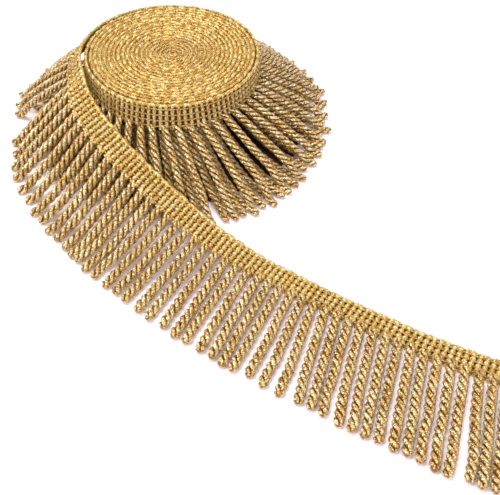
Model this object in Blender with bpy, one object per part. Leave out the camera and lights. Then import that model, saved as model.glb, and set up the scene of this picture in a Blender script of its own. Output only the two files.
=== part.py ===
"""A cut of gold bullion fringe trim, wound up and stood on its fringe, with its loose end laid out in front.

The heading is a narrow woven band. Its upper edge is a row of yarn loops, two ribs to a loop, and one thick
twisted strand hangs from each loop. The trim is wound heading on heading into a flat-topped roll, so the
bulkier strands below are pushed out into a skirt. The outer turn leaves the roll, comes down to the surface
and lies flat.

Metres, +Z up. The origin is on the surface, on the axis of the roll. Winding runs anticlockwise from above.
"""
import math
import random

import bmesh
import bpy
import numpy as np
from mathutils import Vector

MM = 0.001

# The trim itself
LOOP_PITCH = 5.0 * MM              # one yarn loop, with its two ribs and its strand
STATIONS_PER_LOOP = 4              # rib, dip, rib, gap
HEADING_WIDTH = 10.0 * MM
HEADING_THICKNESS = 1.65 * MM
STRAND_LENGTH = 43.0 * MM          # from the heading's lower edge to the tip
STRAND_WIDTH = 2.7 * MM            # square, with the bulk of a round strand of 3.2 mm
CLEARANCE = 0.3 * MM

# How the loops stand up from the heading: drop of its upper edge, drop of its face
RIB = (0.25 * MM, 0.0)
DIP_IN_LOOP = (0.0, 0.30 * MM)
GAP_BETWEEN_LOOPS = (1.1 * MM, 0.40 * MM)
RIB_RELIEF = (RIB, DIP_IN_LOOP, RIB, GAP_BETWEEN_LOOPS)

# The roll
ROLL_HEIGHT = 37.0 * MM
ROLL_RADIUS = 39.5 * MM            # outer face of the heading where it leaves the roll
TURN_PITCH = HEADING_THICKNESS + CLEARANCE
LEAVING_ANGLE = math.radians(196.0)
LOOPS_PER_TURN = 48
SPIRAL_ROWS = 37                   # crests and grooves by turns, two rows to a turn
SPIRAL_GROOVE = 0.8 * MM
ROUND_STEPS = 32                   # corners of the roll's round sections
CENTRE_DIP = 1.2 * MM
CENTRE_SHIFT = 0.5 * MM            # the innermost turn closes a little off the axis

# The outer turn springs outwards at its foot before it leaves the roll
FLARE_TILT = math.radians(38.0)
FLARE_SPAN = math.radians(95.0)

# The core of packed strands under the heading, which the skirt leans on
NECK_RADIUS = 33.2 * MM
NECK_FOOT_HEIGHT = 17.5 * MM
FOOT_RADIUS = 55.0 * MM
FOOT_HEIGHT = 1.6 * MM

# The skirt: how far out the tips of its two rows come down, read round the roll from the leaving point
SKIRT_OUTLINE = (
    # angle turned back in degrees, outer tip radius in mm, inner tip radius in mm, lean in degrees
    (0.0, 77.0, 67.5, -24.0),
    (12.0, 79.5, 68.0, -20.0),
    (30.0, 79.0, 68.5, -10.0),
    (50.0, 76.0, 69.5, -3.0),
    (80.0, 73.0, 70.5, 5.0),
    (130.0, 71.0, 69.5, 14.0),
    (175.0, 72.0, 70.5, 17.0),
    (204.0, 69.0, 67.5, 17.0),
    (220.0, 66.5, 65.0, 17.0),
    (250.0, 72.0, 70.0, 17.0),
    (268.0, 75.0, 72.5, 17.0),
    (280.0, 71.0, 69.0, 17.0),
    (296.0, 65.0, 63.5, 16.0),
    (360.0, 65.0, 63.5, 10.0),
)
OUTER_BOW = 0.84                   # under 1 bows a strand's fall upwards, over 1 lets it sag
INNER_BOW = 1.05
INNER_ROOT_DROP = 4.0 * MM         # the inner row leaves the roll this much lower

# The loose end, row by row from the point where it leaves the roll
TAIL_ROWS = (
    # distance in mm, bearing from +X, height of the upper edge in mm, tilt from upright, lean of the strands
    (0.0, 284.0, 37.0, 38.0, -14.0),
    (5.0, 286.0, 37.0, 41.0, -8.0),
    (15.0, 298.0, 33.0, 50.0, -5.0),
    (30.0, 310.0, 28.5, 64.0, -3.0),
    (45.0, 316.0, 23.5, 64.0, 0.0),
    (60.0, 318.0, 18.5, 59.0, 2.0),
    (80.0, 321.0, 12.5, 58.0, 3.0),
    (100.0, 324.0, 6.5, 70.0, 3.0),
    (120.0, 324.0, 1.9, 86.0, 11.0),
    (150.0, 324.0, 0.82, 90.0, 20.0),
    (190.0, 333.0, 0.82, 90.0, 15.0),
    (232.0, 342.0, 0.82, 90.0, 3.0),
)
TAIL_START = 1.2 * MM              # clears the step where the outer turn ends
TAIL_SMOOTHING = 9.0 * MM
TAIL_STEP = 1.0 * MM
TAIL_LOOPS = 45
SLOPING_LOOPS = 24                 # loops of the tail that are still off the surface
TAIL_BOW_AT_ROLL = 0.85
TAIL_BOW_PER_METRE = 11.0
TAIL_BOW_MOST = 1.6

# The narrow strip of binding yarn that a row of strands grows from
STRIP_DEPTH = 1.4 * MM
STRIP_SLANT = 1.4 * MM             # turns the roots outwards where the strands hang from an upright heading
UPRIGHT_LIMIT = math.radians(60.0)

# A strand from root to tip: share of its run, and of its full width there
STRAND_SECTIONS = (
    (0.10, 1.0),
    (0.45, 1.0),
    (0.90, 1.0),
    (1.00, 0.72),
)
TOUCHDOWN = 0.90                   # share of the run after which a strand lies level
TIP_JITTER = 0.2 * MM
LENGTH_JITTER = 1.3 * MM

HEADING_GOLD = (0.62, 0.42, 0.14, 1.0)
HEADING_ROUGHNESS = 0.42
STRAND_GOLD = (0.55, 0.38, 0.13, 1.0)
STRAND_ROUGHNESS = 0.38
YARN_METALLIC = 0.5
CREASE_ANGLE = math.radians(40.0)


def clear_scene():
    """Remove whatever the scene holds."""
    for thing in list(bpy.data.objects):
        bpy.data.objects.remove(thing, do_unlink=True)


def yarn_material(name, colour, roughness):
    """Metallised yarn, part glossy film and part metal."""
    material = bpy.data.materials.new(name)
    material.use_nodes = True
    shader = material.node_tree.nodes["Principled BSDF"]
    shader.inputs["Base Color"].default_value = colour
    shader.inputs["Roughness"].default_value = roughness
    shader.inputs["Metallic"].default_value = YARN_METALLIC
    material.diffuse_color = colour
    return material


def heading_yarn(name):
    """The bright, tightly woven yarn of the heading."""
    return yarn_material(name, HEADING_GOLD, HEADING_ROUGHNESS)


def strand_yarn(name):
    """The softer yarn that the strands are twisted from."""
    return yarn_material(name, STRAND_GOLD, STRAND_ROUGHNESS)


def finish_object(name, bm, material, collection):
    """Turn an edited mesh into a named object with its own material."""
    bmesh.ops.recalc_face_normals(bm, faces=bm.faces)
    mesh = bpy.data.meshes.new(name)
    bm.to_mesh(mesh)
    bm.free()
    mesh.materials.append(material)
    mesh.shade_smooth()
    mesh.set_sharp_from_angle(angle=CREASE_ANGLE)
    part = bpy.data.objects.new(name, mesh)
    collection.objects.link(part)
    return part


def smooth_column(distances, values, samples):
    """Read a table's column at even samples, its corners rounded by a raised-cosine window."""
    step = samples[1] - samples[0]
    reach = int(round(TAIL_SMOOTHING / step))
    window = 0.5 + 0.5 * np.cos(np.pi * np.arange(-reach, reach + 1) / (reach + 1))
    window /= window.sum()
    padded = samples[0] + step * np.arange(-reach, len(samples) + reach)
    line = np.interp(padded, distances, values)
    first_slope = (values[1] - values[0]) / (distances[1] - distances[0])
    last_slope = (values[-1] - values[-2]) / (distances[-1] - distances[-2])
    before = padded < distances[0]
    after = padded > distances[-1]
    line[before] = values[0] + first_slope * (padded[before] - distances[0])
    line[after] = values[-1] + last_slope * (padded[after] - distances[-1])
    return np.convolve(line, window, mode="valid")


class TailPath:
    """The loose end's upper edge, worked out once and read at any distance along it."""

    def __init__(self):
        rows = np.array(TAIL_ROWS)
        distances = rows[:, 0] * MM
        self.samples = np.arange(0.0, distances[-1] + TAIL_STEP / 2, TAIL_STEP)
        self.bearing = np.radians(smooth_column(distances, rows[:, 1], self.samples))
        self.height = smooth_column(distances, rows[:, 2] * MM, self.samples)
        self.tilt = np.radians(smooth_column(distances, rows[:, 3], self.samples))
        self.lean = np.radians(np.interp(self.samples, distances, rows[:, 4]))
        self.slope = np.gradient(self.height, TAIL_STEP)
        level_run = np.sqrt(1.0 - self.slope ** 2)
        start = ROLL_RADIUS - HEADING_THICKNESS / 2
        self.x = self.add_up(start * math.cos(LEAVING_ANGLE), level_run * np.cos(self.bearing))
        self.y = self.add_up(start * math.sin(LEAVING_ANGLE), level_run * np.sin(self.bearing))

    def add_up(self, start, rates):
        """Integrate a coordinate along the path."""
        steps = (rates[1:] + rates[:-1]) / 2 * TAIL_STEP
        return start + np.concatenate([[0.0], np.cumsum(steps)])

    def read(self, column, distance):
        """The value of a column at a distance along the tail."""
        return float(np.interp(distance, self.samples, column))

    def frame(self, distance):
        """The upper edge there, with the directions along, across and out of the heading's face."""
        bearing = self.read(self.bearing, distance)
        slope = self.read(self.slope, distance)
        tilt = self.read(self.tilt, distance)
        run = math.sqrt(1.0 - slope ** 2)
        along = Vector((run * math.cos(bearing), run * math.sin(bearing), slope))
        across = tilted_down(along, tilt)
        edge = Vector([self.read(column, distance) for column in (self.x, self.y, self.height)])
        lowest = edge.z + across.z * HEADING_WIDTH - HEADING_THICKNESS / 2
        edge.z += max(0.0, -lowest)
        return edge, along, across, across.cross(along)


def level_outward(along):
    """The level direction out of the heading's face."""
    return Vector((along.y, -along.x, 0.0)).normalized()


def tilted_down(along, tilt):
    """The direction from the heading's upper edge to its lower one, thrown outwards by the tilt."""
    outward = level_outward(along)
    return along.cross(outward) * math.cos(tilt) + outward * math.sin(tilt)


def flare(turned_back):
    """Tilt of the wound heading: the outer turn opens towards the leaving point."""
    nearness = max(0.0, 1.0 - turned_back / FLARE_SPAN)
    return FLARE_TILT * nearness * nearness * (3.0 - 2.0 * nearness)


def face_radius(turned_back):
    """Radius of the wound heading's outer face, at an angle back from the leaving point."""
    return ROLL_RADIUS - TURN_PITCH * turned_back / math.tau


def round_point(radius, turned_back, height):
    """A point on the roll, at an angle back from the leaving point."""
    angle = LEAVING_ANGLE - turned_back
    return Vector((radius * math.cos(angle), radius * math.sin(angle), height))


def wound_frame(turned_back):
    """The same four vectors as TailPath.frame gives, where the heading is still wound."""
    angle = LEAVING_ANGLE - turned_back
    edge = round_point(face_radius(turned_back) - HEADING_THICKNESS / 2, turned_back, ROLL_HEIGHT)
    along = Vector((-math.sin(angle), math.cos(angle), 0.0))
    across = tilted_down(along, flare(turned_back))
    return edge, along, across, across.cross(along)


def quad_band(bm, first, second):
    """Join two rows with the same number of corners."""
    for corner in range(len(first) - 1):
        bm.faces.new((first[corner], first[corner + 1], second[corner + 1], second[corner]))


def fan_band(bm, fine, coarse, seam=None):
    """Join a row of many corners to a row of few.

    A seam is a corner on the line between the two rows' first corners, and splits the first triangle.
    """
    share = (len(fine) - 1) // (len(coarse) - 1)
    for step in range(len(coarse) - 1):
        first = step * share
        middle = first + share // 2
        for corner in range(first, first + share):
            hub = coarse[step] if corner < middle else coarse[step + 1]
            if seam is not None and corner == 0:
                bm.faces.new((fine[0], fine[1], seam))
                bm.faces.new((seam, fine[1], hub))
            else:
                bm.faces.new((fine[corner], fine[corner + 1], hub))
        bm.faces.new((fine[middle], coarse[step + 1], coarse[step]))


def spiral_top(bm):
    """The wound edges on top, in rows that follow the spiral, each second one sunk between two turns.

    A row that has gone once round meets the row two further in, which is the next turn.
    """
    def corner(step, row):
        turned_back = math.tau * step / ROUND_STEPS
        radius = face_radius(turned_back) - TURN_PITCH * row / 2
        depth = SPIRAL_GROOVE if row % 2 == 0 else 0.0
        return bm.verts.new(round_point(radius, turned_back, ROLL_HEIGHT - depth))

    columns = [[corner(step, row) for row in range(1, SPIRAL_ROWS + 1)] for step in range(ROUND_STEPS)]
    columns[0] += [corner(0, SPIRAL_ROWS + 1), corner(0, SPIRAL_ROWS + 2)]
    columns.append(columns[0][2:])
    for before, after in zip(columns[:-1], columns[1:]):
        quad_band(bm, before[:SPIRAL_ROWS], after[:SPIRAL_ROWS])

    innermost = [column[SPIRAL_ROWS - 1] for column in columns]
    innermost += [columns[0][SPIRAL_ROWS], columns[0][SPIRAL_ROWS - 1]]
    shift = Vector((math.sin(LEAVING_ANGLE), -math.cos(LEAVING_ANGLE), 0.0)) * CENTRE_SHIFT
    centre = bm.verts.new(Vector((0.0, 0.0, ROLL_HEIGHT - CENTRE_DIP)) + shift)
    for before, after in zip(innermost[:-1], innermost[1:]):
        bm.faces.new((before, after, centre))
    return columns


def ribbed_wall(bm, last_top):
    """The outer turn's face, from the loops at the top to the heading's lower edge."""
    stations = LOOPS_PER_TURN * STATIONS_PER_LOOP
    tops = []
    bottoms = []
    for station in range(stations + 1):
        turned_back = math.tau * station / stations
        edge_drop, face_drop = RIB_RELIEF[station % STATIONS_PER_LOOP]
        edge, _, across, face = wound_frame(turned_back)
        corner = edge + face * (HEADING_THICKNESS / 2 - face_drop)
        top = corner + across * (SPIRAL_GROOVE + edge_drop)
        tops.append(last_top if station == stations else bm.verts.new(top))
        bottoms.append(bm.verts.new(corner + across * HEADING_WIDTH))
    quad_band(bm, tops, bottoms)
    return tops, bottoms


def make_roll(collection, material):
    """The wound form in one piece: spiral top, ribbed wall, and the core of strands down to the surface."""
    bm = bmesh.new()
    columns = spiral_top(bm)
    outer_crest = [column[0] for column in columns]
    step_crest, step_groove = columns[0][:2]
    tops, bottoms = ribbed_wall(bm, step_groove)
    fan_band(bm, tops, outer_crest)
    bm.faces.new((tops[0], step_crest, step_groove, bottoms[-1], bottoms[0]))

    sections = (
        (NECK_RADIUS, ROLL_HEIGHT - HEADING_WIDTH),
        (NECK_RADIUS, NECK_FOOT_HEIGHT),
        (FOOT_RADIUS, FOOT_HEIGHT),
        (FOOT_RADIUS, 0.0),
    )
    turns = [math.tau * step / ROUND_STEPS for step in range(ROUND_STEPS)]
    rings = []
    for radius, height in sections:
        rings.append([bm.verts.new(round_point(radius, turn, height)) for turn in turns])
    closed_rings = [ring + ring[:1] for ring in rings]
    fan_band(bm, bottoms, closed_rings[0], seam=bottoms[-1])
    for upper, lower in zip(closed_rings[:-1], closed_rings[1:]):
        quad_band(bm, upper, lower)
    bm.faces.new(rings[-1])
    return finish_object("roll", bm, material, collection)


def make_tail_heading(collection, material, tail):
    """The loose end's woven band: ribs across it, loops along its upper edge, a plain cut end."""
    bm = bmesh.new()
    pitch = LOOP_PITCH / STATIONS_PER_LOOP
    half = HEADING_THICKNESS / 2
    sections = []
    for station in range(TAIL_LOOPS * STATIONS_PER_LOOP + 1):
        distance = max(station * pitch, TAIL_START)
        edge, _, across, face = tail.frame(distance)
        edge_drop, face_drop = RIB_RELIEF[station % STATIONS_PER_LOOP]
        upper = edge + across * edge_drop
        lower = edge + across * HEADING_WIDTH
        outside = face * (half - face_drop)
        inside = face * -half
        corners = (upper + outside, lower + outside, lower + inside, upper + inside)
        sections.append([bm.verts.new(corner) for corner in corners])
    for before, after in zip(sections[:-1], sections[1:]):
        quad_band(bm, before + before[:1], after + after[:1])
    bm.faces.new(sections[0])
    bm.faces.new(sections[-1])
    return finish_object("tail_heading", bm, material, collection)


def strip_section(frame, lowered):
    """Four corners of the binding strip, just past the heading's lower edge."""
    edge, _, across, face = frame
    tilt = across.angle(Vector((0.0, 0.0, -1.0)))
    slant = STRIP_SLANT * max(0.0, 1.0 - tilt / UPRIGHT_LIMIT)
    top = edge + across * (HEADING_WIDTH + CLEARANCE + lowered)
    half = face * (HEADING_THICKNESS / 2)
    inner_foot = top - half + across * (STRIP_DEPTH + slant)
    outer_foot = top + half + across * STRIP_DEPTH
    return (top + half, top - half, inner_foot, outer_foot)


def strand_centres(root, tip, bow):
    """Where a strand's sections lie: it falls from the root, then rests level on the surface."""
    centres = []
    for share, _ in STRAND_SECTIONS:
        fall = max(0.0, 1.0 - share / TOUCHDOWN) ** bow
        point = root.lerp(tip, share)
        point.z = tip.z + max(0.0, root.z - tip.z) * fall
        centres.append(point)
    return centres


def grow_strand(bm, face, tip, bow):
    """Draw one strand out of its root face, section by section."""
    root = face.calc_center_median()
    centres = strand_centres(root, tip, bow)
    sideways = Vector((tip.y - root.y, root.x - tip.x, 0.0)).normalized()
    thickness = sideways.cross(face.normal)
    signs = []
    for vert in face.verts:
        offset = vert.co - root
        signs.append((math.copysign(1.0, offset.dot(sideways)), math.copysign(1.0, offset.dot(thickness))))
    before = root
    for number, (centre, section) in enumerate(zip(centres, STRAND_SECTIONS)):
        after = centres[min(number + 1, len(centres) - 1)]
        forwards = (after - before).normalized()
        if centre.z == tip.z:
            forwards.z = 0.0
            forwards.normalize()
        upright = sideways.cross(forwards)
        reach = STRAND_WIDTH / 2 * section[1]
        face = bmesh.ops.extrude_discrete_faces(bm, faces=[face])["faces"][0]
        for vert, (side_sign, upright_sign) in zip(face.verts, signs):
            vert.co = centre + sideways * (reach * side_sign) + upright * (reach * upright_sign)
        before = centre


def make_fringe(name, collection, material, frames, lowered, find_tip, bow_at):
    """A row of strands on their strip. frames holds a pair of frames for each strand, at its two sides."""
    bm = bmesh.new()
    sections = []
    for frame in frames:
        sections.append([bm.verts.new(corner) for corner in strip_section(frame, lowered)])
    roots = []
    for number in range(len(sections) - 1):
        before = sections[number]
        after = sections[number + 1]
        quad_band(bm, before[3:] + before[:3], after[3:] + after[:3])
        foot = bm.faces.new((before[2], before[3], after[3], after[2]))
        if number % 2 == 0:
            roots.append((foot, frames[number][1]))
    bm.faces.new(sections[0])
    bm.faces.new(sections[-1])
    bmesh.ops.recalc_face_normals(bm, faces=bm.faces)
    for number, (foot, along) in enumerate(roots):
        tip = find_tip(number, foot.calc_center_median(), along)
        grow_strand(bm, foot, tip, bow_at(number))
    return finish_object(name, bm, material, collection)


def place_tip(root, along, out_run, along_run):
    """A tip that lies on the surface, so far out of the heading's face and so far along it."""
    level_along = Vector((along.x, along.y, 0.0)).normalized()
    tip = root + level_outward(along) * out_run + level_along * along_run
    tip.z = STRAND_WIDTH / 2
    return tip


def make_skirt(name, collection, material, turn, lowered, outline, bow, shift, seed):
    """One turn's strands round the roll. outline is SKIRT_OUTLINE's column with its tip radius."""
    chance = random.Random(seed)
    half_width = STRAND_WIDTH / 2 / ROLL_RADIUS
    rows = np.array(SKIRT_OUTLINE)
    places = [math.tau * (number + shift) / LOOPS_PER_TURN for number in range(LOOPS_PER_TURN)]
    places.reverse()
    frames = []
    for place in places:
        middle = place + math.tau * turn
        frames += [wound_frame(middle + half_width), wound_frame(middle - half_width)]

    def find_tip(number, root, along):
        turned_back = math.degrees(places[number])
        radius = np.interp(turned_back, rows[:, 0], rows[:, outline]) * MM
        radius += chance.uniform(-LENGTH_JITTER, LENGTH_JITTER)
        lean = math.radians(np.interp(turned_back, rows[:, 0], rows[:, 3]))
        along_run = STRAND_LENGTH * math.sin(lean) + chance.uniform(-TIP_JITTER, TIP_JITTER)
        out_run = math.sqrt(radius ** 2 - along_run ** 2) - math.hypot(root.x, root.y)
        return place_tip(root, along, out_run, along_run)

    return make_fringe(name, collection, material, frames, lowered, find_tip, lambda number: bow)


def make_tail_fringe(name, collection, material, tail, first, last, seed):
    """The strands of a stretch of the loose end."""
    chance = random.Random(seed)
    places = [(loop + 0.5) * LOOP_PITCH for loop in range(first, last)]
    frames = []
    for place in places:
        frames += [tail.frame(place - STRAND_WIDTH / 2), tail.frame(place + STRAND_WIDTH / 2)]

    def find_tip(number, root, along):
        length = STRAND_LENGTH - CLEARANCE - STRIP_DEPTH + chance.uniform(-LENGTH_JITTER, LENGTH_JITTER)
        level_run = math.sqrt(length ** 2 - (root.z - STRAND_WIDTH / 2) ** 2)
        lean = tail.read(tail.lean, places[number])
        along_run = level_run * math.sin(lean) + chance.uniform(-TIP_JITTER, TIP_JITTER)
        return place_tip(root, along, level_run * math.cos(lean), along_run)

    def bow_at(number):
        return min(TAIL_BOW_AT_ROLL + TAIL_BOW_PER_METRE * places[number], TAIL_BOW_MOST)

    return make_fringe(name, collection, material, frames, 0.0, find_tip, bow_at)


def build():
    """Make every piece of the trim."""
    clear_scene()
    collection = bpy.data.collections.new("fringe_trim")
    bpy.context.scene.collection.children.link(collection)
    tail = TailPath()
    make_roll(collection, heading_yarn("roll_yarn"))
    make_tail_heading(collection, heading_yarn("tail_heading_yarn"), tail)
    make_skirt(
        "skirt_fringe_outer", collection, strand_yarn("skirt_outer_yarn"),
        turn=0, lowered=0.0, outline=1, bow=OUTER_BOW, shift=0.5, seed=4,
    )
    make_skirt(
        "skirt_fringe_inner", collection, strand_yarn("skirt_inner_yarn"),
        turn=1, lowered=INNER_ROOT_DROP, outline=2, bow=INNER_BOW, shift=1.06, seed=5,
    )
    make_tail_fringe(
        "tail_fringe_sloping", collection, strand_yarn("tail_sloping_yarn"), tail,
        first=0, last=SLOPING_LOOPS, seed=7,
    )
    make_tail_fringe(
        "tail_fringe_flat", collection, strand_yarn("tail_flat_yarn"), tail,
        first=SLOPING_LOOPS, last=TAIL_LOOPS, seed=9,
    )


build()
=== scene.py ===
"""Looks of a cut of gold bullion fringe trim, wound up and stood on its fringe, with its loose end in front.

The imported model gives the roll, the heading and the strands as plain solids. Here the heading becomes a thin
woven ground with looped gimp ribs and binding threads, and each strand a three-ply twist of metallised yarn.
"""

import math
import random
from functools import partial

import bpy
import numpy as np
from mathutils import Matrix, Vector


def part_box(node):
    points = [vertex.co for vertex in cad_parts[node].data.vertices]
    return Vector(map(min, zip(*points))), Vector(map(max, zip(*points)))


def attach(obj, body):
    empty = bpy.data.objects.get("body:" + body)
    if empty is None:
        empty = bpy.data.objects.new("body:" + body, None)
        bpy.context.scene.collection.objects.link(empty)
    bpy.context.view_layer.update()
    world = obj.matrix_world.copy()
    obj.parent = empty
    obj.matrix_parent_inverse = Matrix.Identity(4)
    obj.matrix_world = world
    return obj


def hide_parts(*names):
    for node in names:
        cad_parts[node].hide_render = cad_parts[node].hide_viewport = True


bl_info = {
    "name": "Bullion Fringe Trim",
    "version": (1, 0, 0),
    "blender": (4, 5, 0),
    "location": "View3D > Sidebar > Fringe",
    "description": "Dresses the packed solids of a wound fringe trim in woven heading and twisted yarn",
    "category": "Add Mesh",
}

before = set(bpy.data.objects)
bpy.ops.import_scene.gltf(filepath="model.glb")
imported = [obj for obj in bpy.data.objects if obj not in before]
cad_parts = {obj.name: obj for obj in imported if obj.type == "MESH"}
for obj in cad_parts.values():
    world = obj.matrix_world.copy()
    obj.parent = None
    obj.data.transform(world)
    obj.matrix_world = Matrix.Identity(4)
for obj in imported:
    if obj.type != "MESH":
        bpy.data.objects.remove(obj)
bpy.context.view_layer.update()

MM = 0.001

# The winding, as the solids have it
HEADING_THICKNESS = 1.65 * MM
TURN_GAP = 0.3 * MM
TURN_PITCH = HEADING_THICKNESS + TURN_GAP
ROLL_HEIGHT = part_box("roll")[1].z
ROLL_RADIUS = 39.5 * MM
LEAVING_ANGLE = math.radians(196.0)
LOOPS_PER_TURN = 48
RIBBED_LOOPS = 60  # loops from the leaving point inwards whose ribs show
OUT_OF_ROUND = 0.062  # share of the radius that the winding is pushed out by, on its far left
OUT_OF_ROUND_BEARING = math.radians(152.0)
FLARE_TILT = math.radians(38.0)
FLARE_SPAN = math.radians(95.0)
FRONT_TILT = math.radians(20.0)  # of the outer turn where it faces the camera
FRONT_PLACE = math.radians(286.0)
FRONT_SPAN = math.radians(74.0)
INNERMOST_RADIUS = 0.7 * MM

# The weave of the heading
GROUND_STEP = 2.0 * MM
GROUND_TOP = 2.4 * MM  # below the tops of the loops
GROUND_INSET = 0.2 * MM  # above the heading's lower edge
RIB_FOOT = 1.2 * MM  # length of a rib below the last binding, over the root of its strand
WOUND_LEG = 2.4 * MM  # length of the ribs drawn inside the roll, where only their tops show
OUTER_GIRTH = 0.76  # of the ribs on the roll's face, against those of the loose end
WOUND_GIRTH = 0.86  # of the tops inside the roll
BINDING_ROWS = 4
STEPS_PER_RIB = 4  # of a binding thread
BINDING_LIFT = 0.66 * MM  # of a binding thread off the middle of the heading, between two ribs
BINDING_SWING = 0.27 * MM  # further out where it passes over a rib
SELVEDGE_DEPTH = 1.2 * MM  # of the cord that runs through the tops of the loops
SELVEDGE_STEP = 1.4 * MM
FILLER_DEPTH = 2.0 * MM  # of the cord between two turns, which closes the groove between them
FILLER_STOP = 180  # steps before the leaving point at which it ends
TAIL_DROPS = 0.15 * MM  # how unevenly the loops sit, either way
FACE_DROPS = 0.20 * MM
WOUND_DROPS = 0.35 * MM  # slow unevenness of the wound edges
WOUND_DROPS_PER_TURN = 4
WOUND_DROP_COUNT = 80
MIDDLE_SINK = 0.7 * MM  # of the innermost turns
LOOP_SEEDS = {"tail_loops": 2, "outer_turn_loops": 3, "wound_loops": 4}
BINDING_SEED = 5.0

# The loose end, row by row from the point where it leaves the roll
TAIL_ROWS = (
    # distance in mm, bearing from +X, height of the upper edge in mm, tilt from upright
    (0.0, 284.0, 37.0, 38.0),
    (5.0, 286.0, 37.0, 41.0),
    (15.0, 298.0, 33.0, 50.0),
    (30.0, 310.0, 28.5, 64.0),
    (45.0, 316.0, 23.5, 64.0),
    (60.0, 318.0, 18.5, 59.0),
    (80.0, 320.2, 12.5, 58.0),
    (100.0, 324.4, 6.5, 70.0),
    (120.0, 326.8, 1.9, 86.0),
    (150.0, 327.0, 0.82, 90.0),
    (190.0, 330.2, 0.82, 90.0),
    (232.0, 338.6, 0.82, 90.0),
)
TAIL_SMOOTHING = 9.0 * MM
TAIL_STEP = 1.0 * MM
TAIL_START = 1.2 * MM
TAIL_LENGTH = 225.0 * MM
TAIL_SHIFT = 3.6 * MM  # from the leaving point to the middle of the loose end's first loop
SLOPING_LENGTH = 120.0 * MM  # of the loose end, up to where it lies on the surface

# How the strands of the loose end lie, read along it from the roll
TAIL_LIE = (
    # distance in mm, lean from square to the heading in degrees, length in mm, scatter of the lean
    (0.0, -5.0, 41.0, 5.0),
    (35.0, 0.5, 40.5, 1.5),
    (75.0, 3.0, 41.5, 1.5),
    (110.0, 8.0, 43.0, 1.2),
    (140.0, 10.0, 44.0, 1.2),
    (150.0, 16.0, 45.0, 1.2),
    (185.0, 15.5, 44.5, 1.2),
    (225.0, 8.5, 44.5, 1.8),
)
LENGTH_SCATTER = 0.7 * MM  # of a strand on the loose end, either way
TAIL_GIRTH = 1.06  # of a strand that lies loose, against the ply sizes
TAIL_SEEDS = {"sloping": 7, "flat": 9}
FIRST_BOW = 0.85  # of the strands next to the roll: under 1 arches up, over 1 sags
BOW_GROWTH = 11.0  # for each metre away from it
MOST_BOW = 1.6

# The skirt, read round the roll from the leaving point
SKIRT_ROWS = (
    # angle turned back in degrees, outer tip radius in mm, inner tip radius in mm, lean in degrees
    (0.0, 77.0, 67.5, -24.0),
    (12.0, 78.0, 68.0, -20.0),
    (30.0, 76.0, 68.5, -10.0),
    (50.0, 74.0, 69.5, -3.0),
    (80.0, 73.0, 70.5, 5.0),
    (130.0, 69.5, 68.0, 14.0),
    (175.0, 71.5, 69.5, 17.0),
    (188.0, 71.5, 69.5, 17.0),
    (204.0, 69.5, 68.0, 17.0),
    (222.0, 72.0, 69.5, 17.0),
    (250.0, 75.0, 72.5, 17.0),
    (268.0, 77.5, 75.0, 17.0),
    (282.0, 75.5, 73.5, 17.0),
    (296.0, 69.5, 68.0, 16.0),
    (360.0, 67.0, 65.0, 10.0),
)
OUTER_TIP, INNER_TIP, LEAN = 1, 2, 3
SKIRT_LAYERS = (
    # name, turn, drop in mm, tip column, mm short of it, bow, share of a pitch round, its scatter,
    # seed, sides, ring spacing in mm
    ("outer", 0, -0.2, OUTER_TIP, 0.0, 0.84, 0.50, 0.03, 4, 6, 0.55),
    ("inner", 1, 0.8, INNER_TIP, 0.0, 1.5, 0.98, 0.06, 5, 6, 0.55),
    ("deep", 2, 2.0, INNER_TIP, 2.5, 1.8, 0.74, 0.08, 6, 5, 0.8),
)
SKIRT_GIRTH = 0.88  # of a strand that hangs, and so is drawn thinner
TIP_SCATTER = 1.3 * MM  # of the skirt's tips in and out
TIP_JITTER = 0.8 * MM  # and round the roll
CORE_SECTIONS = (
    # radius and height in mm, from the top down
    (35.0, 30.0), (31.5, 26.0), (32.0, 18.0), (42.0, 9.0), (55.0, 3.5), (60.0, 0.8), (59.5, 0.0),
)
CORE_FLUTES = 72
FLUTE_DEPTH = 1.0 * MM
FLUTE_TWIST = 0.15  # radians for each mm of height
SMOOTH_ABOVE = 27.0  # mm of height, over which the core has no flutes
TOUCHDOWN = 0.90  # share of a strand's run after which it lies level
STRAND_START = 0.5 * MM  # inside the heading
STRAND_SHARES = (0.0, 0.06, 0.14, 0.26, 0.40, 0.54, 0.68, 0.80, 0.90, 1.0)

# The yarns
PLIES = 3
ROOT_LENGTH = 6.0 * MM  # of a strand, along which it grows to its full girth
ROOT_GIRTH = 0.74  # against that girth
TIP_LENGTH = 1.2 * MM  # of its rounded end
TIP_GIRTH = 0.6
STRAND_WAVINESS = 3.0 * MM
STRAND_ROUGHNESS = 0.22 * MM
CREASE_START = 0.52  # share of a yarn's radius up to which it is all crease, and so takes the full painted shade
CREASE_END = 0.84
YARN_LENGTH = "yarn_length"  # attribute that the materials read: distance along a yarn
CREASE = "crease"  # attribute that the materials read: 1 deep between a yarn's plies, where shade is painted into the colour
SURFACE_GAP = 0.02 * MM  # left under a yarn that lies on the surface
WAVE_SCALE = 75.0  # of the noise that bends a strand, about one bend in 13 mm
WAVE_STRETCH = (1.0, 1.0, 0.3)  # the bends go sideways more than up and down
LUMP_STRETCH = (1.0, 1.0, 1.0)
LUMP_SIZE = 0.9 * MM  # of the unevenness in a yarn's bulk
PHASE_SCATTER = 9000.0  # turns a small difference in length into a chance start of the twist
TWIST_HAND = -1.0  # which way the plies run round each other
LOOP_NOISE_SEED = 3.0
LOOP_SEED = 11
SKIRT_TWIST = 0.96  # share of the ply pitch in the strands of the wound fringe
PATCH_SIZE = 6.0 * MM  # of the drift in a yarn's colour along it
WINDING_PITCH = 0.5 * MM  # of the film wound round each yarn, drawn about twice as coarse as it is
WINDING_DEPTH = 0.06 * MM
WINDING_STRENGTH = 0.7
FILM_SHARE = 0.55  # of metallised film in what shows of a yarn, the rest being thread
TONE_DRIFT = 0.6  # how far that drift moves the tone
MIDDLE_GREY = (0.5, 0.5, 0.5)  # mean of a noise's colour
GIMP_ROUGHNESS = 0.46
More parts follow.
